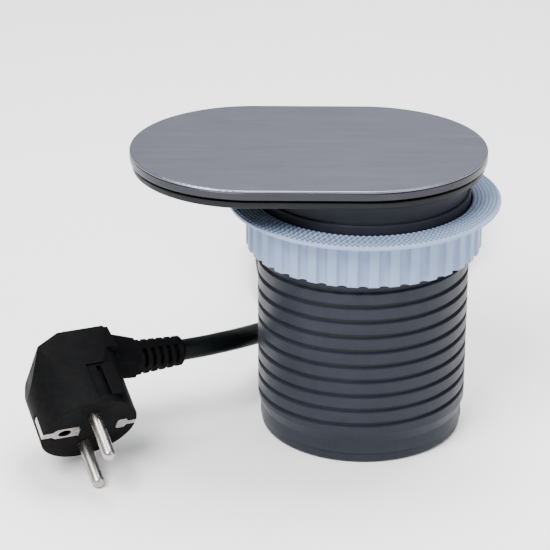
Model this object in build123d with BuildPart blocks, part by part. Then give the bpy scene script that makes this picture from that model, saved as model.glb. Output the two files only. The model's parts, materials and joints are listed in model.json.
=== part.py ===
from build123d import *
import math
import os

os.makedirs("parts", exist_ok=True)

# ---------------------------------------------------------------- driving dimensions (mm)
# Frame: Z = 0 is the desk surface, under the base flange. The barrel's axis is Z.
# +X runs along the oval plate, whose long end points to -X, and the cover slides to -X.
hole_d = 80.0            # desk cut-out
thread_r = 39.8          # crest of the barrel's external thread
root_r = 38.6            # root of the thread, and the plain neck
pitch = 6.0              # thread pitch, right-handed
groove_top, groove_root = 2.1, 1.0   # groove width at the crest and at the root
thread_start_z = -90.95  # groove centre at the back (azimuth 90 degrees)
thread_turns = 12.8
bore_r = 36.0            # inside of the barrel
neck_bore_r = 33.6       # inside of the thick neck and of the flange
body_bottom_z = -100.3   # seam between barrel and bottom cap
floor_z = -104.5         # underside of the bottom cap, the surface it all stands on

half_len = 41.7          # distance between the two ends' centres of the oval
flange_r, flange_t = 44.5, 2.5
spigot_h = 0.8           # the barrel's neck reaches this far into a recess of the flange
cover_r = 45.4           # oval cover: 90.8 x 132.5
rim_z0, rim_z1, plate_top = 3.6, 6.5, 7.3
rim_wall = 1.1
slide_travel = 82.0      # cover's travel to -X

washer_r, washer_bore, washer_z0, washer_z1 = 51.0, 40.5, -13.1, -11.6
washer_shift = 0.0       # play of the loose washer on the barrel
nut_r, nut_bore, nut_z0, nut_z1 = 44.2, 40.15, -30.4, -13.15
lobes, flute_r, flute_depth = 36, 1.95, 1.9
flute_az = -91.3         # a flute's azimuth as the nut stands in the photo

cup_x = -10.0            # centre of the mains outlet in the insert
cup_r, cup_wall_r, cup_floor_z = 19.5, 22.0, -18.0
insert_top, insert_t = -0.5, 3.0
insert_r = 33.3
pin_pitch, pin_hole_r = 19.0, 2.6

cord_d = 8.2             # three-core lead
cord_r = cord_d / 2
exit_z = -94.7           # height of the lead where it leaves the barrel's back
gland_end = 64.0         # y of the strain relief's small end
tie_t = 1.2
coil_c = (5.0, 163.0)    # centre of the stored coil
coil_in, coil_out = 37.0, 45.2       # radii of the inner and the outer column of turns
lay_z = [floor_z + tie_t + cord_r + k * cord_d for k in range(3)]


def save(part, name):
    part.label = name
    export_step(part, f"parts/{name}.step")


def rz(deg, r, z=0.0):
    return (r * math.cos(math.radians(deg)), r * math.sin(math.radians(deg)), z)


# ---------------------------------------------------------------- barrel
screw_az = (45, 135, 225, 315)       # flange screws in the thick neck
lug_az = (50, 100, 260, 310)         # lugs that carry the socket insert
post_az = (30, 150, 270)             # posts for the bottom cap's screws
with BuildPart() as barrel:
    with BuildSketch(Plane.XZ):
        with BuildLine():
            Polyline(
                (bore_r, body_bottom_z), (38.85, body_bottom_z), (root_r, -95.7), (thread_r, -91.8),
                (thread_r, -8.5), (thread_r - 0.4, -8.1), (root_r, -8.1), (root_r, spigot_h),
                (neck_bore_r, spigot_h), (neck_bore_r, -12), (bore_r, -14.5), close=True,
            )
        make_face()
    revolve(axis=Axis.Z)
    # lugs under the insert
    for az in lug_az:
        with BuildSketch(Plane.XY.offset(-6.5).rotated((0, 0, az))) as lug:
            with Locations((32.0, 0)):
                Rectangle(6.4, 8)
        extrude(amount=3)
    # posts for the cap's screws
    for az in post_az:
        with BuildSketch(Plane.XY.offset(body_bottom_z).rotated((0, 0, az))):
            with Locations((32.0, 0)):
                Circle(3.4)
            with Locations((34.2, 0)):
                Rectangle(3.8, 6.8)
        extrude(amount=18)
    # screw holes
    with BuildSketch(Plane.XY.offset(spigot_h)):
        with PolarLocations(36.1, 4, start_angle=45):
            Circle(1.1)
    extrude(amount=-9.5 - spigot_h, mode=Mode.SUBTRACT)
    for az in lug_az:
        with BuildSketch(Plane.XY.offset(-3.5).rotated((0, 0, az))):
            with Locations((30.9, 0)):
                Circle(1.1)
        extrude(amount=-3, mode=Mode.SUBTRACT)
    for az in post_az:
        with BuildSketch(Plane.XY.offset(body_bottom_z).rotated((0, 0, az))):
            with Locations((31.5, 0)):
                Circle(1.1)
        extrude(amount=14, mode=Mode.SUBTRACT)
    # hole for the lead, through the back wall
    with BuildSketch(Plane.XZ.offset(-30)):
        with Locations((0, exit_z)):
            Circle(5.0)
    extrude(amount=-12, mode=Mode.SUBTRACT)

# one long helical groove cuts the external thread
with BuildPart() as thread_groove:
    with BuildLine() as helix:
        Helix(pitch=pitch, height=pitch * thread_turns, radius=thread_r, center=(0, 0, thread_start_z))
    with BuildSketch(Plane(origin=helix.line @ 0, z_dir=helix.line % 0, x_dir=(1, 0, 0))):
        with BuildLine():
            Polyline(
                (root_r - thread_r, -groove_root / 2), (0, -groove_top / 2), (0.4, -groove_top / 2 - 0.3),
                (0.4, groove_top / 2 + 0.3), (0, groove_top / 2), (root_r - thread_r, groove_root / 2), close=True,
            )
        make_face()
    sweep(path=helix.line, is_frenet=True)
barrel_part = barrel.part - Rot(0, 0, 90) * thread_groove.part
save(barrel_part, "barrel")

# ---------------------------------------------------------------- bottom cap
with BuildPart() as bottom_cap:
    with BuildSketch(Plane.XY.offset(floor_z)):
        Circle(38.4)
    extrude(amount=body_bottom_z - floor_z)
    fillet(bottom_cap.edges().filter_by(GeomType.CIRCLE).group_by(Axis.Z)[0], 1.6)
    with BuildSketch(Plane.XY.offset(body_bottom_z)):
        Circle(bore_r - 0.15)
        Circle(33.6, mode=Mode.SUBTRACT)
    extrude(amount=4.5)
    # room for the barrel's posts and for the lead
    for az in post_az:
        with BuildSketch(Plane.XY.offset(body_bottom_z).rotated((0, 0, az))):
            with Locations((33.0, 0)):
                Rectangle(10, 8.2)
        extrude(amount=5, mode=Mode.SUBTRACT)
    with BuildSketch(Plane.XY.offset(body_bottom_z)):
        with Locations((0, 34.5)):
            Rectangle(15, 9)
    extrude(amount=5, mode=Mode.SUBTRACT)
    # saddle that the lead's sheath is clamped on
    with BuildSketch(Plane.XY.offset(body_bottom_z)):
        with Locations((0, 22)):
            Rectangle(25, 9)
    extrude(amount=5.6)
    with BuildSketch(Plane.XZ.offset(-10)):
        with Locations((0, exit_z)):
            Circle(cord_r - 0.05)
    extrude(amount=-20, mode=Mode.SUBTRACT)
    for sx in (-8.6, 8.6):
        with BuildSketch(Plane.XY.offset(body_bottom_z + 5.6)):
            with Locations((sx, 22)):
                Circle(1.1)
        extrude(amount=-6.5, mode=Mode.SUBTRACT)
    # countersunk holes from below
    for az in post_az:
        with Locations(Location(rz(az, 31.5, floor_z), (180, 0, 0))):
            CounterSinkHole(radius=1.6, counter_sink_radius=3.1, depth=6)
save(bottom_cap.part, "bottom_cap")

with BuildPart() as cap_screws:
    with BuildSketch(Plane.XZ, mode=Mode.PRIVATE) as prof:
        with BuildLine():
            Polyline((0, 0.3), (2.65, 0.3), (1.35, 1.8), (1.05, 2.6), (1.05, 15), (0.6, 16), (0, 16), close=True)
        make_face()
    one = revolve(prof.sketch, axis=Axis.Z, mode=Mode.PRIVATE)
    with Locations(*[Location(rz(az, 31.5, floor_z)) for az in post_az]):
        add(one)
save(cap_screws.part, "cap_screws")

# ---------------------------------------------------------------- strain relief of the lead
with BuildPart() as cord_gland:
    with BuildSketch(Plane.YZ):
        with BuildLine():
            Polyline(
                (33.6, exit_z), (33.6, exit_z + 5.45), (35.2, exit_z + 5.45), (35.2, exit_z + 4.9), (39.9, exit_z + 4.9),
                (39.9, exit_z + 5.6), (42.6, exit_z + 5.6), (43.4, exit_z + 5.4), (gland_end, exit_z + 4.75), (gland_end, exit_z), close=True,
            )
        make_face()
    revolve(axis=Axis(origin=(0, 0, exit_z), direction=(0, 1, 0)))
    # ribs moulded round the taper
    for k in range(5):
        y = 46.0 + 3.7 * k
        with BuildSketch(Plane.XZ.offset(-y)):
            with Locations((0, exit_z)):
                Rectangle(12, 12)
                Rectangle(3.2, 12, mode=Mode.SUBTRACT)
                Circle(cord_r + 0.05, mode=Mode.SUBTRACT)
        extrude(amount=-1.5, mode=Mode.SUBTRACT)
save(cord_gland.part, "cord_gland")

# ---------------------------------------------------------------- base flange
with BuildPart() as base_flange:
    with BuildSketch(Plane.XY):
        with Locations((-half_len / 2, 0)):
            SlotCenterToCenter(half_len, 2 * flange_r)
        Circle(neck_bore_r, mode=Mode.SUBTRACT)
    extrude(amount=flange_t)
    outer = base_flange.edges().filter_by(lambda e: abs(e.center().Z) < 1e-6).filter_by(
        lambda e: abs(e.center().Y) > neck_bore_r + 1 or abs(e.center().X) > neck_bore_r + 1 and e.length > 20
    )
    fillet([e for e in outer if e.distance_to(Vertex(0, 0, 0)) > neck_bore_r + 2], 1.0)
    top = [e for e in base_flange.edges().group_by(Axis.Z)[-1] if e.distance_to(Vertex(0, 0, flange_t)) > neck_bore_r + 2]
    fillet(top, 0.4)
    with Locations(*[Location(rz(az, 36.1, flange_t)) for az in screw_az]):
        CounterSinkHole(radius=1.6, counter_sink_radius=3.0, depth=6)
    # recess that the barrel's neck stands in
    with BuildSketch(Plane.XY):
        Circle(root_r + 0.05)
    extrude(amount=spigot_h, mode=Mode.SUBTRACT)
    # pilot holes of the guide's screws
    with BuildSketch(Plane.XY.offset(flange_t)):
        with Locations((-73, 12), (-73, -12), (-53, 12), (-53, -12)):
            Circle(1.1)
    extrude(amount=-2.1, mode=Mode.SUBTRACT)
save(base_flange.part, "base_flange")

with BuildPart() as flange_screws:
    with BuildSketch(Plane.XZ, mode=Mode.PRIVATE) as prof2:
        with BuildLine():
            Polyline((0, -0.15), (2.85, -0.15), (1.4, -1.4), (1.05, -1.65), (1.05, -10.4), (0.6, -11.4), (0, -11.4), close=True)
        make_face()
    one2 = revolve(prof2.sketch, axis=Axis.Z, mode=Mode.PRIVATE)
    with Locations(*[Location(rz(az, 36.1, flange_t)) for az in screw_az]):
        add(one2)
save(flange_screws.part, "flange_screws")

# ---------------------------------------------------------------- guide of the sliding cover
guide_y_neck, guide_y_head = 20.2, 24.0
with BuildPart() as guide_block:
    for z0, z1, hy in ((flange_t, 3.9, guide_y_neck), (3.9, 5.1, guide_y_head)):
        with BuildSketch(Plane.XY.offset(z0)):
            with Locations((-half_len, 0)):
                Circle(43.4)
            with Locations((-slide_travel, 0)):
                Circle(43.4, mode=Mode.INTERSECT)
            with Locations((-62, 0)):
                Rectangle(60, 2 * hy, mode=Mode.INTERSECT)
        extrude(amount=z1 - z0)
    # pocket of the detent spring
    with BuildSketch(Plane.XY.offset(5.1)):
        with Locations((-63, 0)):
            Rectangle(20.4, 5.4)
    extrude(amount=-1.0, mode=Mode.SUBTRACT)
    with Locations((-73, 12, 5.1), (-73, -12, 5.1), (-53, 12, 5.1), (-53, -12, 5.1)):
        CounterSinkHole(radius=1.6, counter_sink_radius=2.9, depth=6)
save(guide_block.part, "guide_block")

with BuildPart() as guide_screws:
    with BuildSketch(Plane.XZ, mode=Mode.PRIVATE) as prof3:
        with BuildLine():
            Polyline((0, -0.1), (2.75, -0.1), (1.4, -1.55), (1.05, -2.2), (1.05, -4.2), (0.7, -4.5), (0, -4.5), close=True)
        make_face()
    one3 = revolve(prof3.sketch, axis=Axis.Z, mode=Mode.PRIVATE)
    with Locations((-73, 12, 5.1), (-73, -12, 5.1), (-53, 12, 5.1), (-53, -12, 5.1)):
        add(one3)
save(guide_screws.part, "guide_screws")

with BuildPart() as detent_spring:
    with BuildSketch(Plane.XZ.offset(-2.4)):
        with BuildLine():
            Polyline(
                (-73, 4.15), (-69, 4.15), (-65, 4.75), (-63, 4.85), (-61, 4.75), (-57, 4.15), (-53, 4.15),
                (-53, 4.4), (-57, 4.4), (-61, 5.0), (-63, 5.15), (-65, 5.0), (-69, 4.4), (-73, 4.4), close=True,
            )
        make_face()
    extrude(amount=4.8)
save(detent_spring.part, "detent_spring")

# ---------------------------------------------------------------- cover: sheet, rim and carrier
with BuildPart() as cover_plate:
    with BuildSketch(Plane.XY.offset(rim_z1)):
        with Locations((-half_len / 2, 0)):
            SlotCenterToCenter(half_len, 2 * cover_r)
    extrude(amount=plate_top - rim_z1)
    fillet(cover_plate.edges().group_by(Axis.Z)[-1], 0.45)
    chamfer(cover_plate.edges().group_by(Axis.Z)[0], 0.2)
save(cover_plate.part, "cover_plate")

with BuildPart() as cover_rim:
    with BuildSketch(Plane.XY.offset(rim_z0)):
        with Locations((-half_len / 2, 0)):
            SlotCenterToCenter(half_len, 2 * cover_r)
            SlotCenterToCenter(half_len, 2 * (cover_r - rim_wall), mode=Mode.SUBTRACT)
    extrude(amount=rim_z1 - rim_z0)
    out_top = [e for e in cover_rim.edges().group_by(Axis.Z)[-1] if e.distance_to(Vertex(-half_len / 2, 0, rim_z1)) > cover_r - 0.3]
    chamfer(out_top, 0.3)
    out_low = [e for e in cover_rim.edges().group_by(Axis.Z)[0] if e.distance_to(Vertex(-half_len / 2, 0, rim_z0)) > cover_r - 0.3]
    fillet(out_low, 0.3)
save(cover_rim.part, "cover_rim")

rail_y0, rail_y1, lip_y = 24.3, 26.6, 20.6
with BuildPart() as cover_carrier:
    with BuildSketch(Plane.XY.offset(5.3)):
        with Locations((-half_len / 2, 0)):
            SlotCenterToCenter(half_len, 2 * (cover_r - rim_wall))
    extrude(amount=rim_z1 - 5.3)
    for s in (1, -1):
        with BuildSketch(Plane.XY.offset(2.8)):
            with Locations((-half_len / 2, s * (rail_y0 + rail_y1) / 2)):
                Rectangle(half_len + 2 * 34.6, rail_y1 - rail_y0)
        extrude(amount=2.5)
        with BuildSketch(Plane.XY.offset(2.8)):
            with Locations((-half_len / 2, s * (lip_y + rail_y0) / 2)):
                Rectangle(half_len + 2 * 34.6, rail_y0 - lip_y)
        extrude(amount=0.9)
    # notches that the detent spring clicks into, closed and open
    with BuildSketch(Plane.XZ.offset(-3)):
        with Locations((-63, 5.3), (-63 + slide_travel, 5.3)):
            Circle(0.5)
    extrude(amount=6, mode=Mode.SUBTRACT)
save(cover_carrier.part, "cover_carrier")

# ---------------------------------------------------------------- clamping washer and ring nut
with BuildPart() as clamp_washer:
    with BuildSketch(Plane.XY.offset(washer_z0)):
        with Locations((washer_shift, 0)):
            Circle(washer_r)
            Circle(washer_bore, mode=Mode.SUBTRACT)
    extrude(amount=washer_z1 - washer_z0)
    fillet([e for e in clamp_washer.edges().filter_by(GeomType.CIRCLE) if e.radius > washer_r - 0.2], 0.5)
save(clamp_washer.part, "clamp_washer")

with BuildPart() as nut_body:
    # rounded ridges and flutes, about as wide as each other
    with BuildSketch(Plane.XY.offset(nut_z0)) as fluted:
        Circle(nut_r)
        with PolarLocations(nut_r - flute_depth + flute_r, lobes, start_angle=flute_az):
            Circle(flute_r, mode=Mode.SUBTRACT)
        fillet(fluted.vertices(), 0.9)
        Circle(nut_bore, mode=Mode.SUBTRACT)
    extrude(amount=nut_z1 - 0.6 - nut_z0)
    # plain collar that closes the flutes under the washer
    with BuildSketch(Plane.XZ):
        with BuildLine():
            Polyline(
                (nut_bore, nut_z1), (nut_bore, nut_z1 - 1.6), (nut_r - flute_depth + 0.2, nut_z1 - 1.6),
                (nut_r + 0.15, nut_z1 - 1.0), (nut_r + 0.15, nut_z1), close=True,
            )
        make_face()
    revolve(axis=Axis.Z)
    # the lower corner of every ridge is turned off
    with BuildSketch(Plane.XZ):
        with BuildLine():
            Polyline((nut_r - 0.6, nut_z0 - 0.1), (nut_r + 0.2, nut_z0 + 0.7), (nut_r + 1, nut_z0 + 0.7), (nut_r + 1, nut_z0 - 0.1), close=True)
        make_face()
    revolve(axis=Axis.Z, mode=Mode.SUBTRACT)

# the nut's own thread: three short lugs on the barrel's helix
lug_len = 48.0
with BuildPart() as nut_lug:
    with BuildLine() as lug_helix:
        Helix(pitch=pitch, height=pitch * lug_len / 360, radius=thread_r)
    with BuildSketch(Plane(origin=lug_helix.line @ 0, z_dir=lug_helix.line % 0, x_dir=(1, 0, 0))):
        with BuildLine():
            Polyline((-0.8, -0.36), (0.9, -0.95), (0.9, 0.95), (-0.8, 0.36), close=True)
        make_face()
    sweep(path=lug_helix.line, is_frenet=True)


def groove_z(az, turn):
    """Height of the groove's centre at an azimuth, a number of turns up."""
    return thread_start_z + pitch * ((az - 90) / 360 + turn)


ring_nut_part = nut_body.part
for k, az in enumerate((0, 120, 240)):
    # each lug starts at this azimuth, on the turn that lies in the nut's lower half
    turn = math.ceil((-29.0 - groove_z(az, 0)) / pitch)
    ring_nut_part = ring_nut_part + Pos(0, 0, groove_z(az, turn)) * Rot(0, 0, az) * nut_lug.part
save(ring_nut_part, "ring_nut")

# ---------------------------------------------------------------- socket insert
with BuildPart() as socket_insert:
    with BuildSketch(Plane.XY.offset(insert_top)):
        Circle(insert_r)
    extrude(amount=-insert_t)
    with BuildSketch(Plane.XY.offset(insert_top)):
        with Locations((cup_x, 0)):
            Circle(cup_wall_r)
    extrude(amount=cup_floor_z - 2.5 - insert_top)
    with BuildSketch(Plane.XY.offset(insert_top)):
        with Locations((cup_x, 0)):
            Circle(cup_r)
    extrude(amount=cup_floor_z - insert_top, mode=Mode.SUBTRACT)
    fillet([e for e in socket_insert.edges().group_by(Axis.Z)[-1] if e.radius < 20], 0.6)
    # pin holes
    with BuildSketch(Plane.XY.offset(cup_floor_z)):
        with Locations((cup_x, pin_pitch / 2), (cup_x, -pin_pitch / 2)):
            Circle(pin_hole_r)
    extrude(amount=-3, mode=Mode.SUBTRACT)
    # channels of the two earth springs
    for s in (1, -1):
        with BuildSketch(Plane.XY.offset(-2.4)):
            with Locations((cup_x + s * 19.7, 0)):
                Rectangle(2.4, 6.6)
        extrude(amount=-20, mode=Mode.SUBTRACT)
    # two guide ribs on the cup's wall
    for s in (1, -1):
        with BuildSketch(Plane.XY.offset(-3)):
            with Locations((cup_x, s * 19.2)):
                Rectangle(4.6, 1.6)
        extrude(amount=cup_floor_z + 3)
    # windows of the two charging ports
    with BuildSketch(Plane.XY.offset(insert_top)):
        with Locations((18.6, 0)):
            Rectangle(6.1, 13.5)
        with Locations((27.2, 0)):
            SlotOverall(9.2, 3.5, rotation=90)
    extrude(amount=-insert_t, mode=Mode.SUBTRACT)
    # screws that hold it down
    with Locations(*[Location(rz(az, 30.9, insert_top)) for az in lug_az]):
        CounterSinkHole(radius=1.6, counter_sink_radius=2.7, depth=6)
save(socket_insert.part, "socket_insert")

with BuildPart() as insert_screws:
    with BuildSketch(Plane.XZ, mode=Mode.PRIVATE) as prof4:
        with BuildLine():
            Polyline((0, -0.15), (2.5, -0.15), (1.4, -1.3), (1.05, -1.9), (1.05, -5.6), (0.7, -5.9), (0, -5.9), close=True)
        make_face()
    one4 = revolve(prof4.sketch, axis=Axis.Z, mode=Mode.PRIVATE)
    with Locations(*[Location(rz(az, 30.9, insert_top)) for az in lug_az]):
        add(one4)
save(insert_screws.part, "insert_screws")

# carrier of the contacts, under the cup
with BuildPart() as contact_block:
    with BuildSketch(Plane.XY.offset(-20.6)):
        with Locations((cup_x, 0)):
            Circle(17.0)
    extrude(amount=-17.4)
    for s in (1, -1):
        with BuildSketch(Plane.XY.offset(-20.6)):
            with Locations((cup_x, s * pin_pitch / 2)):
                Circle(3.6)
        extrude(amount=-15, mode=Mode.SUBTRACT)
        with BuildSketch(Plane.XY.offset(-35)):
            with Locations((cup_x, s * 9.5)):
                Rectangle(6.2, 8.2)
        extrude(amount=-4, mode=Mode.SUBTRACT)
save(contact_block.part, "contact_block")

for name, s in (("live_contact", 1), ("neutral_contact", -1)):
    with BuildPart() as contact:
        with BuildSketch(Plane.XY.offset(-21)):
            with Locations((cup_x, s * pin_pitch / 2)):
                Circle(3.5)
                Circle(2.55, mode=Mode.SUBTRACT)
                with Locations((-3, 0)):
                    Rectangle(3, 0.8, mode=Mode.SUBTRACT)
        extrude(amount=-14)
        with BuildSketch(Plane.XY.offset(-35)):
            with Locations((cup_x, s * 9.5)):
                Rectangle(6, 8)
        extrude(amount=-7)
        with BuildSketch(Plane.XY.offset(-42)):
            with Locations((cup_x, s * 9.5)):
                Circle(1.75)
        extrude(amount=5, mode=Mode.SUBTRACT)
        with BuildSketch(Plane.XZ.offset(-s * 13.5)):
            with Locations((cup_x, -40)):
                Circle(1.0)
        extrude(amount=s * 4, mode=Mode.SUBTRACT)
    save(contact.part, name)

with BuildPart() as earth_bracket:
    with BuildSketch(Plane.XZ.offset(-2.9)):
        with BuildLine():
            Polyline(
                (cup_x - 20.4, -39.6), (cup_x + 20.4, -39.6), (cup_x + 20.4, -6), (cup_x + 19.0, -3.2), (cup_x + 18.6, -3.6),
                (cup_x + 18.4, -9), (cup_x + 19.6, -15), (cup_x + 19.6, -38.8), (cup_x - 19.6, -38.8), (cup_x - 19.6, -15),
                (cup_x - 18.4, -9), (cup_x - 18.6, -3.6), (cup_x - 19.0, -3.2), (cup_x - 20.4, -6), close=True,
            )
        make_face()
    extrude(amount=5.8)
    # lead terminal of the earth
    with BuildSketch(Plane.XY.offset(-46)):
        with Locations((cup_x, 0)):
            Rectangle(6, 5.8)
            Circle(1.75, mode=Mode.SUBTRACT)
    extrude(amount=6.4)
save(earth_bracket.part, "earth_bracket")

with BuildPart() as terminal_screws:
    for s in (1, -1):
        with BuildSketch(Plane.XZ.offset(-s * 13.5)):
            with Locations((cup_x, -40)):
                Circle(0.98)
        extrude(amount=s * 1.9)
        with BuildSketch(Plane.XZ.offset(-s * 13.5)):
            with Locations((cup_x, -40)):
                Circle(1.9)
        extrude(amount=-s * 1.4)
    with BuildSketch(Plane.YZ.offset(cup_x + 3)):
        with Locations((0, -43.5)):
            Circle(1.9)
    extrude(amount=1.4)
save(terminal_screws.part, "terminal_screws")

# ---------------------------------------------------------------- charger module
with BuildPart() as charger_board:
    with BuildSketch(Plane.XY.offset(-16.6)):
        with Locations((22.5, 0)):
            Rectangle(15, 26)
    extrude(amount=1.6)
save(charger_board.part, "charger_board")

with BuildPart() as usb_a_port:
    with BuildSketch(Plane.XY.offset(-15.0)):
        with Locations((18.6, 0)):
            Rectangle(5.72, 13.14)
            Rectangle(5.12, 12.5, mode=Mode.SUBTRACT)
    extrude(amount=14.3)
    with BuildSketch(Plane.XY.offset(-15.0)):
        with Locations((18.6, 0)):
            Rectangle(5.12, 12.5)
    extrude(amount=2.6)
    with BuildSketch(Plane.XY.offset(-12.6)):
        with Locations((19.8, 0)):
            Rectangle(1.9, 11.2)
    extrude(amount=9.6)
save(usb_a_port.part, "usb_a_port")

with BuildPart() as usb_c_port:
    with BuildSketch(Plane.XY.offset(-15.0)):
        with Locations((27.2, 0)):
            SlotOverall(8.94, 3.26, rotation=90)
            SlotOverall(8.34, 2.66, rotation=90, mode=Mode.SUBTRACT)
    extrude(amount=14.3)
    with BuildSketch(Plane.XY.offset(-15.0)):
        with Locations((27.2, 0)):
            SlotOverall(8.34, 2.66, rotation=90)
    extrude(amount=7.6)
    with BuildSketch(Plane.XY.offset(-7.5)):
        with Locations((27.2, 0)):
            Rectangle(0.7, 6.7)
    extrude(amount=5.0)
save(usb_c_port.part, "usb_c_port")

with BuildPart() as transformer:
    with BuildSketch(Plane.XY.offset(-16.6)):
        with Locations((22.5, 5)):
            Rectangle(13, 14)
    extrude(amount=-3)
    with BuildSketch(Plane.XY.offset(-19.6)):
        with Locations((22.5, 5)):
            Rectangle(10, 14)
    extrude(amount=-9)
    with BuildSketch(Plane.XY.offset(-21.1)):
        with Locations((22.5, 5)):
            Rectangle(13.6, 11)
    extrude(amount=-6)
save(transformer.part, "transformer")

with BuildPart() as capacitors:
    with BuildSketch(Plane.XY.offset(-16.6)):
        with Locations((19.4, -7.4), (27.2, -8.2)):
            Circle(3.6)
    extrude(amount=-13)
    fillet(capacitors.edges().filter_by(GeomType.CIRCLE).group_by(Axis.Z)[0], 0.6)
save(capacitors.part, "capacitors")

# ---------------------------------------------------------------- lead inside the barrel
with BuildPart() as lead_sheath:
    with BuildSketch(Plane.XZ.offset(-14)):
        with Locations((0, exit_z)):
            Circle(cord_r - 0.1)
    extrude(amount=-(33.6 - 14))
save(lead_sheath.part, "lead_sheath")

with BuildPart() as lead_clamp:
    with BuildSketch(Plane.XY.offset(body_bottom_z + 5.8)):
        with Locations((0, 22)):
            Rectangle(25, 7.6)
    extrude(amount=5.6)
    with BuildSketch(Plane.XZ.offset(-10)):
        with Locations((0, exit_z)):
            Circle(cord_r - 0.05)
    extrude(amount=-20, mode=Mode.SUBTRACT)
    with Locations((-8.6, 22, body_bottom_z + 11.4), (8.6, 22, body_bottom_z + 11.4)):
        Hole(radius=1.5, depth=8)
    fillet(lead_clamp.edges().filter_by(Axis.Y).group_by(Axis.Z)[-1], 1.2)
save(lead_clamp.part, "lead_clamp")

with BuildPart() as clamp_screws:
    with BuildSketch(Plane.XZ, mode=Mode.PRIVATE) as prof5:
        with BuildLine():
            Polyline((0, 1.9), (2.0, 1.9), (2.6, 1.3), (2.6, 0), (1.05, 0), (1.05, -11), (0.6, -11.6), (0, -11.6), close=True)
        make_face()
    one5 = revolve(prof5.sketch, axis=Axis.Z, mode=Mode.PRIVATE)
    with Locations((-8.6, 22, body_bottom_z + 11.4), (8.6, 22, body_bottom_z + 11.4)):
        add(one5)
save(clamp_screws.part, "clamp_screws")

# three conductors, from the sheath up to the terminals
wire_r = 1.35
wires = {
    "live_wire": [(-2.0, 14, exit_z + 1.2), (-2.0, 3, exit_z + 1.2), (-16, 6, -78), (-17, 14, -60), (cup_x, 9.5, -52), (cup_x, 9.5, -41.5)],
    "neutral_wire": [(2.0, 14, exit_z + 1.2), (2.0, 1, exit_z + 1.2), (-2, -12, -80), (-6, -14, -62), (cup_x, -9.5, -52), (cup_x, -9.5, -41.5)],
    "earth_wire": [(0.0, 14, exit_z - 2.0), (0, 1, exit_z - 2.0), (-8, -6, -84), (-8, -2, -64), (cup_x, 0, -56), (cup_x, 0, -45.5)],
}
for name, pts in wires.items():
    vs = [Vector(*p) for p in pts]
    rad = []
    for a, b, c in zip(vs, vs[1:], vs[2:]):
        turn = math.radians((b - a).get_angle(c - b))
        rad.append(0.45 * min((b - a).length, (c - b).length) / math.tan(turn / 2))
    with BuildPart() as wire:
        with BuildLine() as run:
            FilletPolyline(*pts, radius=rad)
        with BuildSketch(Plane(origin=run.line @ 0, z_dir=run.line % 0)):
            Circle(wire_r)
        sweep(path=run.line)
    print(name, "radii", [round(r, 1) for r in rad], "volume/expected", round(wire.part.volume / (math.pi * wire_r**2 * sum(e.length for e in run.line.edges())), 4))
    save(wire.part, name)

# ---------------------------------------------------------------- plug, in its own frame: x = towards the lead, z = along the pins, origin = middle of the face
lead_az, lead_dip, pins_dip = 27.0, 2.5, 32.5   # plug's attitude, degrees
c_dir = Vector(*rz(lead_az, math.cos(math.radians(lead_dip)), -math.sin(math.radians(lead_dip))))
p_dir = Vector(*rz(lead_az - 90, math.cos(math.radians(pins_dip)), -math.sin(math.radians(pins_dip))))
p_dir = (p_dir - c_dir * p_dir.dot(c_dir)).normalized()
n_dir = p_dir.cross(c_dir)
sleeve_end, lead_back = 46.4, -27.0          # the sleeve's end and the lead's axis, in the plug's frame
# the lower pin's rounded tip stands on the floor
low = min(s * 9.5 * n_dir.Z for s in (1, -1)) + (19 - 2.4) * p_dir.Z - 2.4
plug_end = Vector(-69.0, -8.0, 0)           # where the sleeve's end is, seen from above
o_xy = plug_end - c_dir * sleeve_end - p_dir * lead_back
plug_o = Vector(o_xy.X, o_xy.Y, floor_z - low)
plug_at = Location(Plane(origin=plug_o, x_dir=c_dir, z_dir=p_dir))
tail_start = plug_o + c_dir * sleeve_end + p_dir * lead_back
print("plug origin", plug_o, "c", c_dir, "p", p_dir, "n", n_dir, "lead leaves at", tail_start)

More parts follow.
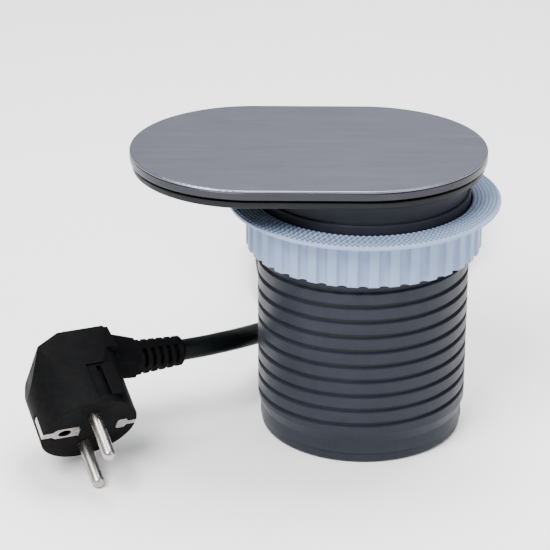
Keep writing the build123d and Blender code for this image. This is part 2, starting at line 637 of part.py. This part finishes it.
with BuildPart() as plug_body:
    with BuildSketch(Plane.XY):
        Circle(18.4)
    extrude(amount=-37)
    # outline seen along the pins' line: straight face side, bevelled far corner
    with BuildSketch(Plane.XZ.offset(-20)):
        with BuildLine():
            Polyline((-19, 0), (19, 0), (19, -17), (17.2, -37), (-3, -36.8), (-12.8, -31), (-18.6, -17), close=True)
        make_face()
    extrude(amount=40, mode=Mode.INTERSECT)
    with BuildSketch(Plane.YZ.offset(-20)):
        with BuildLine():
            Polyline((-18.4, 0), (18.4, 0), (18.4, -5), (17.2, -17), (10.4, -37), (-10.4, -37), (-17.2, -17), (-18.4, -5), close=True)
        make_face()
    extrude(amount=40, mode=Mode.INTERSECT)
    # square-cornered back, which the neck grows out of
    with BuildSketch(Plane.YZ.offset(-1)):
        with BuildLine():
            Polyline((14.48, -25), (10.43, -36.9), (-10.43, -36.9), (-14.48, -25), close=True)
        make_face()
    extrude(amount=12.5)
    with BuildSketch(Plane.YZ.offset(11.4)):
        with BuildLine():
            Polyline((14.48, -25), (10.43, -36.9), (-10.43, -36.9), (-14.48, -25), close=True)
        make_face()
    with BuildSketch(Plane.YZ.offset(17.2)):
        with BuildLine():
            Polyline((12.4, -25.6), (9.6, -36.6), (-9.6, -36.6), (-12.4, -25.6), close=True)
        make_face()
    loft()
    # flat grip panels on both sides, set a little below the skin on one edge and proud of it on the other
    for s in (1, -1):
        with BuildSketch(Plane.YZ.offset(0.6)):
            with BuildLine():
                Polyline((s * 17.5, -3), (s * 16.3, -17.5), (s * 22, -17.5), (s * 22, -3), close=True)
            make_face()
        extrude(amount=12, mode=Mode.SUBTRACT)
        with BuildSketch(Plane.YZ.offset(0.6)):
            with BuildLine():
                Polyline((s * 8, -3), (s * 17.5, -3), (s * 16.3, -17.5), (s * 8, -17.5), close=True)
            make_face()
        extrude(amount=10.9)
        with BuildSketch(Plane.YZ.offset(4.4)):
            with BuildLine():
                Polyline((s * 15.7, -2.8), (s * 14.6, -16.5), (s * 20, -16.5), (s * 20, -2.8), close=True)
            make_face()
        extrude(amount=1.9, mode=Mode.SUBTRACT)
    # neck towards the lead
    with BuildSketch(Plane.YZ.offset(11)):
        with Locations((0, -30.6)):
            RectangleRounded(19.0, 12.0, 1.6)
    with BuildSketch(Plane.YZ.offset(27)):
        with Locations((0, lead_back)):
            RectangleRounded(12.6, 11.4, 1.6)
    loft()
    # pin seats
    with BuildSketch(Plane.XY):
        with Locations((0, 9.5), (0, -9.5)):
            Circle(2.03)
    extrude(amount=-10, mode=Mode.SUBTRACT)
    # seats of the earth straps: wide on the face, narrow at the rim and down both sides
    with BuildSketch(Plane.XY):
        with Locations((-9.0, 0)):
            Rectangle(10.4, 6.4)
        with Locations((-16.5, 0)):
            Rectangle(6, 3.4)
        with Locations((12.9, 0)):
            Rectangle(4.4, 6.0)
        with Locations((17, 0)):
            Rectangle(5, 2.8)
    extrude(amount=-0.8, mode=Mode.SUBTRACT)
    for s, w in ((1, 2.8), (-1, 3.4)):
        with BuildSketch(Plane.XY):
            with Locations((s * 18.35, 0)):
                Rectangle(1.9, w)
        extrude(amount=-9, mode=Mode.SUBTRACT)
    # entry of an earth pin
    with BuildSketch(Plane.XY):
        with Locations((-9.5, 0)):
            Circle(2.6)
    extrude(amount=-9, mode=Mode.SUBTRACT)
save(plug_body.part.moved(plug_at), "plug_body")

with BuildPart() as plug_pins:
    with BuildSketch(Plane.XZ, mode=Mode.PRIVATE) as pin_prof:
        with BuildLine():
            Polyline((0, -10), (2.0, -10), (2.0, 0), (2.4, 0), (2.4, 16.6))
            RadiusArc((2.4, 16.6), (0, 19), -2.4)
            Line((0, 19), (0, -10))
        make_face()
    pin = revolve(pin_prof.sketch, axis=Axis.Z, mode=Mode.PRIVATE)
    with Locations((0, 9.5, 0), (0, -9.5, 0)):
        add(pin)
save(plug_pins.part.moved(plug_at), "plug_pins")

with BuildPart() as plug_earth_straps:
    # each strap: a wide tongue on the face, a narrow tail over the rim, a leg down the side
    for pts in (
        [(-4.0, 2.3), (-4.7, 3.0), (-12.6, 3.0), (-14.6, 1.5), (-18.2, 1.5), (-18.2, -1.5), (-14.6, -1.5), (-12.6, -3.0), (-4.7, -3.0), (-4.0, -2.3)],
        [(10.9, 2.1), (11.5, 2.8), (14.3, 2.8), (14.9, 1.2), (18.2, 1.2), (18.2, -1.2), (14.9, -1.2), (14.3, -2.8), (11.5, -2.8), (10.9, -2.1)],
    ):
        with BuildSketch(Plane.XY.offset(-0.8)):
            with BuildLine():
                Polyline(*pts, close=True)
            make_face()
        extrude(amount=0.7)
    for x0, w in ((17.5, 2.4), (-18.2, 3.0)):
        with BuildSketch(Plane.XY.offset(-0.1)):
            with Locations((x0 + 0.35, 0)):
                Rectangle(0.7, w)
        extrude(amount=-8.2)
    # turned-up lip at the inner end of the long strap
    with BuildSketch(Plane.XY.offset(-0.8)):
        with Locations((-4.3, 0)):
            Rectangle(0.6, 4.4)
    extrude(amount=1.3)
    with BuildSketch(Plane.XY):
        with Locations((-9.5, 0)):
            Ellipse(2.5, 2.0)
    extrude(amount=-2, mode=Mode.SUBTRACT)
save(plug_earth_straps.part.moved(plug_at), "plug_earth_straps")

with BuildPart() as plug_sleeve:
    with BuildSketch(Plane.YZ.offset(27)):
        with Locations((0, lead_back)):
            RectangleRounded(12.2, 11.4, 3.4)
    with BuildSketch(Plane.YZ.offset(sleeve_end)):
        with Locations((0, lead_back)):
            RectangleRounded(11.0, 10.8, 4.9)
    loft()
    chamfer(plug_sleeve.faces().sort_by(Axis.X)[-1].edges(), 0.9)
    # flexing slots, five on the pins' side and five behind, down to a round core, with a spine left on each flank
    for k in range(5):
        x = 28.9 + 3.25 * k
        with BuildSketch(Plane.YZ.offset(x)):
            with Locations((0, lead_back + 4.3)):
                Rectangle(14, 8.0)
            with Locations((0, lead_back - 5.4)):
                Rectangle(14, 4.4)
            with Locations((0, lead_back)):
                Circle(4.3, mode=Mode.SUBTRACT)
        extrude(amount=1.6, mode=Mode.SUBTRACT)
save(plug_sleeve.part.moved(plug_at), "plug_sleeve")

# ---------------------------------------------------------------- free lead: out of the gland, a stored coil behind, and on to the plug
def tube(points, label):
    vs = [Vector(*p) for p in points]
    radii = []
    for a, b, c in zip(vs, vs[1:], vs[2:]):
        turn = math.radians((b - a).get_angle(c - b))
        radii.append(0.45 * min((b - a).length, (c - b).length) / math.tan(turn / 2))
    with BuildPart() as piece:
        with BuildLine() as run:
            FilletPolyline(*points, radius=radii)
        with BuildSketch(Plane(origin=run.line @ 0, z_dir=run.line % 0)):
            Circle(cord_r)
        sweep(path=run.line)
    print(label, "length", round(sum(e.length for e in run.line.edges()), 1), "radii", [round(r, 1) for r in radii],
          "turns", [round((b - a).get_angle(c - b), 1) for a, b, c in zip(vs, vs[1:], vs[2:])],
          "volume/expected", round(piece.part.volume / (math.pi * cord_r**2 * sum(e.length for e in run.line.edges())), 4))
    save(piece.part, label)
    return sum(e.length for e in run.line.edges())


cx, cy = coil_c
# the lead comes in low on the right of the coil and leaves on top, on its left
lead_in = [
    (0, gland_end, exit_z), (0, 86, exit_z), (11.5, 105, -96.9), (23.5, 117.5, -98.8), (37.0, 131.0, lay_z[0]),
]
# from the plug: each run's length, heading and rise
ts = tail_start
out_runs = [
    (9, lead_az, -math.sin(math.radians(lead_dip)) * 9), (9, 38.5, -0.85), (9, 50, -1.7), (14, 61, -3.5), (18, 66, -5.3), (20, 76, -6.0), (22, 88, -5.1),
]
lead_out = [(ts.X, ts.Y, ts.Z)]
for run_len, heading, rise in out_runs:
    step = rz(heading, math.sqrt(run_len**2 - rise**2), rise)
    lead_out.append(tuple(a + b for a, b in zip(lead_out[-1], step)))
lead_out += [(-33.0, 95, -99.4), (cx - coil_out, 119, -94.0), (cx - coil_out, 142, -85.2), (cx - coil_out, 157, lay_z[2])]
total = tube(lead_in, "lead_to_coil") + tube(lead_out, "lead_to_plug")

# the coil: the outer column's turns stand one layer higher than the inner column's
with BuildPart() as lead_coil:
    with BuildSketch(Plane.XZ):
        with BuildLine():
            r0, r1, r2 = coil_in - cord_r, (coil_in + coil_out) / 2, coil_out + cord_r
            b0, b1, b2 = lay_z[0] - cord_r, lay_z[1] + cord_r, lay_z[2] + cord_r
            Polyline((r0, b0 + 2), (r0 + 2, b0), (r2 - 2, b0), (r2, b0 + 2), (r2, b2 - 2), (r2 - 2, b2), (r1 + 2, b2), (r1, b2 - 2),
                     (r1, b1), (r0 + 2, b1), (r0, b1 - 2), close=True)
        make_face()
    revolve(axis=Axis.Z)
save(lead_coil.part.moved(Location((cx, cy, 0))), "lead_coil")
turns_len = 2 * math.pi * (2.62 * coil_out + 2 * coil_in)
print("coil", round(turns_len), "lead length", round(total + turns_len))

# strap that ties the coil
with BuildPart() as lead_tie:
    with BuildSketch(Plane.XZ.offset(-7)):
        r0, r2 = math.sqrt((coil_in - cord_r) ** 2 - 49) - 0.1, coil_out + cord_r + 0.1
        b0, b2 = lay_z[0] - cord_r - 0.05, lay_z[2] + cord_r + 0.1
        with Locations(((r0 + r2) / 2, (b0 + b2) / 2)):
            Rectangle(r2 - r0 + 2.4, b2 - b0 + 2.3)
            Rectangle(r2 - r0, b2 - b0, mode=Mode.SUBTRACT)
    extrude(amount=14)
save(lead_tie.part.moved(Location((cx, cy, 0), (0, 0, 20))), "lead_tie")
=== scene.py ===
import json
import math
import random

import bpy
from mathutils import Matrix, Vector


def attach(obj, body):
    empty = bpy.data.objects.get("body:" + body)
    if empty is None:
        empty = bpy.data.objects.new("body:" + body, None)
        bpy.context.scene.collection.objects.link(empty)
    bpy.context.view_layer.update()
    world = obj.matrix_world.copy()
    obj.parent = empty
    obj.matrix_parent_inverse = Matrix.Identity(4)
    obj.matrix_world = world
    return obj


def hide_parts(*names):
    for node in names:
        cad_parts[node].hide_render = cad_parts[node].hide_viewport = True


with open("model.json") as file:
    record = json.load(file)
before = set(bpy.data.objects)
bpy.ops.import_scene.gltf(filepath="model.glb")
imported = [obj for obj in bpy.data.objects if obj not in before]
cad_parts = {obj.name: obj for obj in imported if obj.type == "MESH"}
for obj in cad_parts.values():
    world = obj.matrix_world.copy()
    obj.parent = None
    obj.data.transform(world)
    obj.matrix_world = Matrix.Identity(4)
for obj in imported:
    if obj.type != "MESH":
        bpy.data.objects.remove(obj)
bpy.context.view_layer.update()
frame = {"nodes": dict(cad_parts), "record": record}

nodes = frame["nodes"]
rng = random.Random(11)

# ---------------------------------------------------------------- camera
yaw, pitch = 0.0168, 0.4148
fwd = Vector((-math.sin(yaw) * math.cos(pitch), math.cos(yaw) * math.cos(pitch), -math.sin(pitch)))
right = Vector((math.cos(yaw), math.sin(yaw), 0))
up = right.cross(fwd)
cam_data = bpy.data.cameras.new("cam")
cam = bpy.data.objects.new("cam", cam_data)
bpy.context.scene.collection.objects.link(cam)
rot = Matrix((right, up, -fwd)).transposed()
cam.matrix_world = Matrix.Translation((-0.02071, -0.74777, 0.28459)) @ rot.to_4x4()
cam_data.sensor_width = 36
cam_data.lens = 36 * 2153.7 / 550
cam_data.clip_start = 0.01
bpy.context.scene.camera = cam


def link(obj):
    bpy.context.scene.collection.objects.link(obj)
    return obj


# ---------------------------------------------------------------- the mains lead: gland, stored coil behind the barrel, plug
cord_d = 0.0082
lead_in = [(0, 0.064, -0.0947), (0, 0.086, -0.0947), (0.0115, 0.105, -0.0969), (0.0235, 0.1175, -0.0988)]
lead_out = [
    (-0.0402, 0.142, -0.0852), (-0.0402, 0.119, -0.094), (-0.033, 0.095, -0.0994), (-0.02936, 0.0759, -0.09557), (-0.03011, 0.05451, -0.09047),
    (-0.03473, 0.036, -0.08447), (-0.04172, 0.02029, -0.07917), (-0.0483, 0.00843, -0.07567), (-0.05398, 0.00166, -0.07397),
    (-0.06099, -0.00392, -0.07312), (-0.069, -0.008, -0.07273),
]
cx, cy = 0.005, 0.163
r_in, r_out = 0.0372, 0.0447
z_lay = [-0.0992, -0.0910, -0.0828]


def ease(a, b, t):
    t = min(1.0, max(0.0, t))
    return a + (b - a) * t * t * (3 - 2 * t)


per_turn = 16
first, last = -45.0, 180.0 + 4 * 360
steps = round((last - first) / 360 * per_turn)
grow = 1 / (0.75 + 0.25 * math.cos(2 * math.pi / per_turn))
coil_pts = []
for i in range(steps + 1):
    a = first + (last - first) * i / steps
    t = (a - first) / 360
    # the turns step in, up, out and up again, each over the same stretch
    r = r_out
    z = z_lay[0]
    r = ease(r_out, r_in, (t - 0.80) / 0.24)
    z = ease(z, z_lay[1], (t - 1.80) / 0.2)
    r = ease(r, r_out, (t - 2.80) / 0.24)
    z = ease(z, z_lay[2], (t - 3.80) / 0.2)
    lean = 0.0007 * math.sin(math.radians(a * 0.77 + 40))
    r = (r - abs(lean)) * grow
    coil_pts.append((cx + r * math.cos(math.radians(a)), cy + r * math.sin(math.radians(a)), z))
route = lead_in + coil_pts + lead_out


def nurbs(name, points, radius, ends=None):
    data = bpy.data.curves.new(name, "CURVE")
    data.dimensions = "3D"
    sp = data.splines.new("NURBS")
    sp.points.add(len(points) - 1)
    for p, q in zip(sp.points, points):
        p.co = (*q, 1)
        p.radius = radius
    sp.order_u = 3
    sp.use_endpoint_u = True
    sp.resolution_u = 10
    data.bevel_depth = 1.0
    data.bevel_resolution = 9
    data.use_fill_caps = True
    return link(bpy.data.objects.new(name, data))


lead = nurbs("mains_lead", route, cord_d / 2)


def curve_length(points):
    """Length of the order-3 spline through these control points, summed on short chords."""
    total, prev = 0.0, Vector(points[0])
    vs = [Vector(p) for p in points]
    for i in range(len(vs) - 2):
        a = vs[0] if i == 0 else (vs[i] + vs[i + 1]) / 2
        c = vs[-1] if i == len(vs) - 3 else (vs[i + 1] + vs[i + 2]) / 2
        for k in range(1, 9):
            t = k / 8
            q = a * (1 - t) ** 2 + vs[i + 1] * 2 * t * (1 - t) + c * t * t
            total += (q - prev).length
            prev = q
    return total


lead_length = curve_length(route)
print("lead length", round(lead_length, 4))
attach(lead, "housing")
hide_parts("lead_to_coil", "lead_coil", "lead_to_plug")


# ---------------------------------------------------------------- materials
class Mat:
    """A node material: the shader's sockets are set directly, and detail is added on top."""

    def __init__(self, name, color, rough=0.5, metallic=0.0, spec=0.5, coat=0.0, coat_rough=0.1, sheen=0.0):
        self.m = bpy.data.materials.new(name)
        self.m.use_nodes = True
        self.nt = self.m.node_tree
        self.b = self.nt.nodes["Principled BSDF"]
        self.color = (*color, 1)
        self.b.inputs["Base Color"].default_value = self.color
        self.b.inputs["Roughness"].default_value = rough
        self.b.inputs["Metallic"].default_value = metallic
        self.b.inputs["Specular IOR Level"].default_value = spec
        if coat:
            self.b.inputs["Coat Weight"].default_value = coat
            self.b.inputs["Coat Roughness"].default_value = coat_rough
        self.rough = rough
        self.height = None
        self.tc = self.nt.nodes.new("ShaderNodeTexCoord")

    def new(self, kind, **vals):
        n = self.nt.nodes.new(kind)
        for k, v in vals.items():
            setattr(n, k, v)
        return n

    def mapped(self, scale):
        mp = self.new("ShaderNodeMapping")
        mp.inputs["Scale"].default_value = scale
        self.nt.links.new(self.tc.outputs["Object"], mp.inputs["Vector"])
        return mp.outputs["Vector"]

    def noise(self, scale, detail=3.0, rough=0.55, vec=None, distort=0.0):
        n = self.new("ShaderNodeTexNoise")
        n.inputs["Scale"].default_value = scale
        n.inputs["Detail"].default_value = detail
        n.inputs["Roughness"].default_value = rough
        n.inputs["Distortion"].default_value = distort
        self.nt.links.new(vec if vec is not None else self.tc.outputs["Object"], n.inputs["Vector"])
        return n.outputs["Fac"]

    def remap(self, value, a, b, lo=0.0, hi=1.0):
        n = self.new("ShaderNodeMapRange")
        n.inputs["From Min"].default_value = a
        n.inputs["From Max"].default_value = b
        n.inputs["To Min"].default_value = lo
        n.inputs["To Max"].default_value = hi
        self.nt.links.new(value, n.inputs["Value"])
        return n.outputs["Result"]

    def tint(self, fac, color, blend="MIX"):
        """Mixes a colour into the base colour where fac is high."""
        mix = self.new("ShaderNodeMix", data_type="RGBA", blend_type=blend)
        src = self.b.inputs["Base Color"]
        if src.is_linked:
            self.nt.links.new(src.links[0].from_socket, mix.inputs[6])
        else:
            mix.inputs[6].default_value = self.color
        mix.inputs[7].default_value = (*color, 1)
        self.nt.links.new(fac, mix.inputs[0])
        self.nt.links.new(mix.outputs[2], src)
        return self

    def edges(self, color, strength=0.6, lo=0.52, hi=0.6):
        geo = self.new("ShaderNodeNewGeometry")
        worn = self.remap(geo.outputs["Pointiness"], lo, hi, 0, strength)
        patch = self.remap(self.noise(420, 2), 0.35, 0.65, 0.35, 1)
        mul = self.new("ShaderNodeMath", operation="MULTIPLY")
        self.nt.links.new(worn, mul.inputs[0])
        self.nt.links.new(patch, mul.inputs[1])
        return self.tint(mul.outputs[0], color)

    def round_edges(self, radius):
        """Shades every corner as if it had this radius."""
        n = self.new("ShaderNodeBevel", samples=6)
        n.inputs["Radius"].default_value = radius
        self.height = n.outputs["Normal"]
        self.nt.links.new(self.height, self.b.inputs["Normal"])
        return self

    def bump(self, height, distance, strength=1.0):
        n = self.new("ShaderNodeBump")
        n.inputs["Distance"].default_value = distance
        n.inputs["Strength"].default_value = strength
        self.nt.links.new(height, n.inputs["Height"])
        if self.height is not None:
            self.nt.links.new(self.height, n.inputs["Normal"])
        self.height = n.outputs["Normal"]
        self.nt.links.new(self.height, self.b.inputs["Normal"])
        return self

    def crevices(self, color, distance, strength=0.8):
        """Paints shade into the corners that little light reaches: grooves, gaps between nubs, screw slots."""
        ao = self.new("ShaderNodeAmbientOcclusion", samples=8)
        ao.inputs["Distance"].default_value = distance
        return self.tint(self.remap(ao.outputs["AO"], 0.35, 0.85, strength, 0), color)

    def roughen(self, fac, lo, hi):
        self.nt.links.new(self.remap(fac, 0.3, 0.7, lo, hi), self.b.inputs["Roughness"])
        return self


def plastic(name, color, rough=0.45, spec=0.5, grain=2600, depth=0.00003, vary=0.12, wear=0.25, coat=0.0, crevice_shade=0.5, edge=0.00025):
    """Moulded plastic: spark-eroded grain, slight flow marks, rubbed edges and painted shade in its crevices."""
    m = Mat(name, color, rough, spec=spec, coat=coat)
    if edge:
        m.round_edges(edge)
    light = tuple(min(1, c * (1 + vary) + 0.004 * vary) for c in color)
    dark = tuple(c * (1 - vary) for c in color)
    m.tint(m.remap(m.noise(38, 3), 0.4, 0.62), light)
    m.tint(m.remap(m.noise(190, 4, vec=m.mapped((1, 1, 0.35))), 0.52, 0.68, 0, 0.7), dark)
    if wear:
        m.edges(tuple(min(1, c * 1.5 + 0.02) for c in color), wear)
    # painted shade: an ambient-occlusion mask darkens the crevices
    if crevice_shade:
        m.crevices(tuple(c * 0.3 for c in color), 0.0016, crevice_shade)
    m.roughen(m.noise(140, 4), rough * 0.84, min(1, rough * 1.18))
    m.bump(m.noise(grain, 2, 0.6), depth)
    m.bump(m.noise(90, 2), 0.00004, 0.5)
    return m.m


def metal(name, color, rough=0.3, brush=None, depth=0.00002, wear=0.3, dull=0.12):
    """Plated or brushed metal: drawn lines, handling marks and duller patches."""
    m = Mat(name, color, rough, metallic=1.0)
    m.round_edges(0.00012)
    dark = tuple(c * (1 - dull) for c in color)
    m.tint(m.remap(m.noise(70, 4), 0.42, 0.66), dark)
    if brush:
        lines = m.noise(1, 2, 0.5, vec=m.mapped(brush))
        m.bump(lines, depth)
        m.tint(m.remap(lines, 0.35, 0.7, 0, 0.35), tuple(min(1, c * 1.12) for c in color))
        m.roughen(lines, rough * 0.85, rough * 1.2)
    else:
        m.bump(m.noise(1300, 2), depth)
        m.roughen(m.noise(160, 4), rough * 0.8, rough * 1.3)
    if wear:
        m.edges(tuple(min(1, c * 1.25 + 0.04) for c in color), wear)
    return m.m


M = {}
M["sheet_metal"] = metal("sheet_metal", (0.2, 0.21, 0.26), rough=0.34, brush=(40, 5200, 40), depth=0.000012, wear=0.2, dull=0.06)
M["rim_metal"] = metal("rim_metal", (0.04, 0.04, 0.047), rough=0.33, brush=(60, 60, 5200), depth=0.000012, wear=0.2, dull=0.08)
M["black_plastic"] = plastic("black_plastic", (0.009, 0.0095, 0.011), rough=0.42, spec=0.14)
M["barrel_plastic"] = plastic("barrel_plastic", (0.0155, 0.0178, 0.0255), rough=0.4, spec=0.13, grain=2300, vary=0.12, wear=0.15, edge=0.0004)
# the nut and washer get stronger painted shade in their crevices
M["nut_plastic"] = plastic("nut_plastic", (0.238, 0.312, 0.46), rough=0.5, spec=0.22, grain=2300, vary=0.05, wear=0.15, crevice_shade=0.75, edge=0.0002)
# a copy of nut_plastic that carries painted shade between the washer's nubs
M["washer_plastic_painted_shade"] = plastic("washer_plastic_painted_shade", (0.238, 0.312, 0.46), rough=0.5, spec=0.22, grain=2300, vary=0.05, wear=0.15, crevice_shade=0.75, edge=0.0002)
M["insert_plastic"] = plastic("insert_plastic", (0.013, 0.013, 0.015), rough=0.55, spec=0.2, depth=0.00005)
M["lead_rubber"] = plastic("lead_rubber", (0.0022, 0.0030, 0.0031), rough=0.38, spec=0.09, grain=1500, wear=0.0, vary=0.1)
M["plug_plastic"] = plastic("plug_plastic", (0.0022, 0.0023, 0.0026), rough=0.6, spec=0.03, grain=2100, wear=0.1)
M["nickel"] = metal("nickel", (0.4, 0.38, 0.355), rough=0.27, wear=0.2)
M["steel"] = metal("steel", (0.38, 0.38, 0.4), rough=0.32)
M["spring_steel"] = metal("spring_steel", (0.36, 0.37, 0.39), rough=0.3, brush=(60, 3200, 60))
M["brass"] = metal("brass", (0.56, 0.41, 0.17), rough=0.3)
M["board_green"] = plastic("board_green", (0.02, 0.1, 0.04), rough=0.3, coat=0.3)
M["core_grey"] = plastic("core_grey", (0.05, 0.05, 0.053), rough=0.7)
M["can_blue"] = plastic("can_blue", (0.02, 0.03, 0.12), rough=0.3)
M["wire_brown"] = plastic("wire_brown", (0.1, 0.04, 0.018), rough=0.38)
M["wire_blue"] = plastic("wire_blue", (0.02, 0.08, 0.3), rough=0.38)
M["nylon"] = plastic("nylon", (0.5, 0.49, 0.45), rough=0.5, vary=0.05)

# green and yellow earth core: bands along the wire
m = Mat("wire_green", (0.12, 0.42, 0.06), 0.38)
band = m.new("ShaderNodeTexWave", wave_type="BANDS", bands_direction="X")
band.inputs["Scale"].default_value = 190
band.inputs["Distortion"].default_value = 0.6
m.nt.links.new(m.tc.outputs["Object"], band.inputs["Vector"])
m.tint(m.remap(band.outputs["Fac"], 0.62, 0.68), (0.8, 0.68, 0.05))
m.bump(m.noise(1500, 2), 0.00002)
M["wire_green"] = m.m

# the clamping washer: painted shade on the floor between its nubs, standing in for the shade they cast
wm = Mat.__new__(Mat)
wm.m = M["washer_plastic_painted_shade"]
wm.nt = wm.m.node_tree
wm.b = wm.nt.nodes["Principled BSDF"]
wm.tc = wm.nt.nodes.new("ShaderNodeTexCoord")
off_axis = wm.new("ShaderNodeVectorMath", operation="MULTIPLY_ADD")
off_axis.inputs[1].default_value = (1, 1, 0)
off_axis.inputs[2].default_value = (0, 0, 0)
wm.nt.links.new(wm.tc.outputs["Object"], off_axis.inputs[0])
radius = wm.new("ShaderNodeVectorMath", operation="LENGTH")
wm.nt.links.new(off_axis.outputs["Vector"], radius.inputs[0])
height = wm.new("ShaderNodeSeparateXYZ")
wm.nt.links.new(wm.tc.outputs["Object"], height.inputs[0])
inside = wm.remap(radius.outputs["Value"], 0.05045, 0.0502, 0, 1)
on_top = wm.remap(height.outputs["Z"], -0.01175, -0.01162, 0, 0.68)
nub_floor_shade = wm.new("ShaderNodeMath", operation="MULTIPLY")
wm.nt.links.new(inside, nub_floor_shade.inputs[0])
wm.nt.links.new(on_top, nub_floor_shade.inputs[1])
# painted shade: darkens the washer's top face inside the outer nub ring
wm.tint(nub_floor_shade.outputs[0], (0.065, 0.088, 0.135))

slots = {s["node"]: s["material_slot"] for s in frame["record"]["subparts"]}


def dress(obj, slot):
    obj.data.materials.clear()
    obj.data.materials.append(M[slot])


for name, obj in nodes.items():
    dress(obj, slots[name])
dress(nodes["clamp_washer"], "washer_plastic_painted_shade")
dress(lead, "lead_rubber")


# ---------------------------------------------------------------- clamping washer: nubs on its upper face
def mesh_obj(name, verts, faces, slot, body, smooth=False):
    me = bpy.data.meshes.new(name)
    me.from_pydata([tuple(v) for v in verts], [], faces)
    me.validate()
    me.update()
    if smooth:
        me.polygons.foreach_set("use_smooth", [True] * len(me.polygons))
    o = link(bpy.data.objects.new(name, me))
    me.materials.append(M[slot])
    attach(o, body)
    return o


verts, faces = [], []
z0, z1 = -0.01165, -0.01118
shift = 0.0
for row in range(7):
    r = 0.0413 + row * 0.00143
    count = int(2 * math.pi * r / 0.00205)
    for k in range(count):
        a = 2 * math.pi * (k + 0.5 * (row % 2)) / count
        c, s = math.cos(a), math.sin(a)
        j = len(verts)
        hw, hr = 0.00064 + rng.uniform(-3e-5, 3e-5), 0.0005
        for dz, k2 in ((z0, 1.0), (z1 - 0.00012, 0.6), (z1, 0.34)):
            for du, dv in ((-1, -1), (1, -1), (1, 1), (-1, 1)):
                rr, tt = r + dv * hr * k2, du * hw * k2
                verts.append((shift + rr * c - tt * s, rr * s + tt * c, dz))
        for q in range(2):
            for e in range(4):
                f = (e + 1) % 4
                faces.append((j + 4 * q + e, j + 4 * q + f, j + 4 * q + 4 + f, j + 4 * q + 4 + e))
        faces.append((j + 8, j + 9, j + 10, j + 11))
nubs = mesh_obj("washer_nubs", verts, faces, "nut_plastic", "washer")

# ---------------------------------------------------------------- floor and light
floor_z = -0.1045
bpy.ops.mesh.primitive_plane_add(size=6, location=(0, 0, floor_z - 0.00002))
floor = bpy.context.object
floor.name = "floor"
fm = Mat("floor_paper", (0.96, 0.96, 0.96), 0.8)
fm.bump(fm.noise(600, 2), 0.00005, 0.3)
floor.data.materials.append(fm.m)

world = bpy.data.worlds.new("studio")
bpy.context.scene.world = world
world.use_nodes = True
bg = world.node_tree.nodes["Background"]
bg.inputs["Color"].default_value = (1, 1, 1, 1)
bg.inputs["Strength"].default_value = 0.65


def area(name, loc, target, size, power, size_y=None):
    d = bpy.data.lights.new(name, "AREA")
    d.energy = power
    d.shape = "RECTANGLE"
    d.size = size
    d.size_y = size_y or size
    o = link(bpy.data.objects.new(name, d))
    o.location = loc
    o.rotation_euler = (Vector(target) - Vector(loc)).to_track_quat("-Z", "Y").to_euler()
    return o


area("key", (-0.5, -0.7, 1.0), (0, 0, -0.03), 0.7, 34)
area("fill", (0.85, -0.45, 0.4), (0, 0, -0.05), 0.5, 3.5)
area("top", (0.15, 0.35, 1.15), (0, 0, -0.03), 0.8, 30)

bpy.context.view_layer.update()
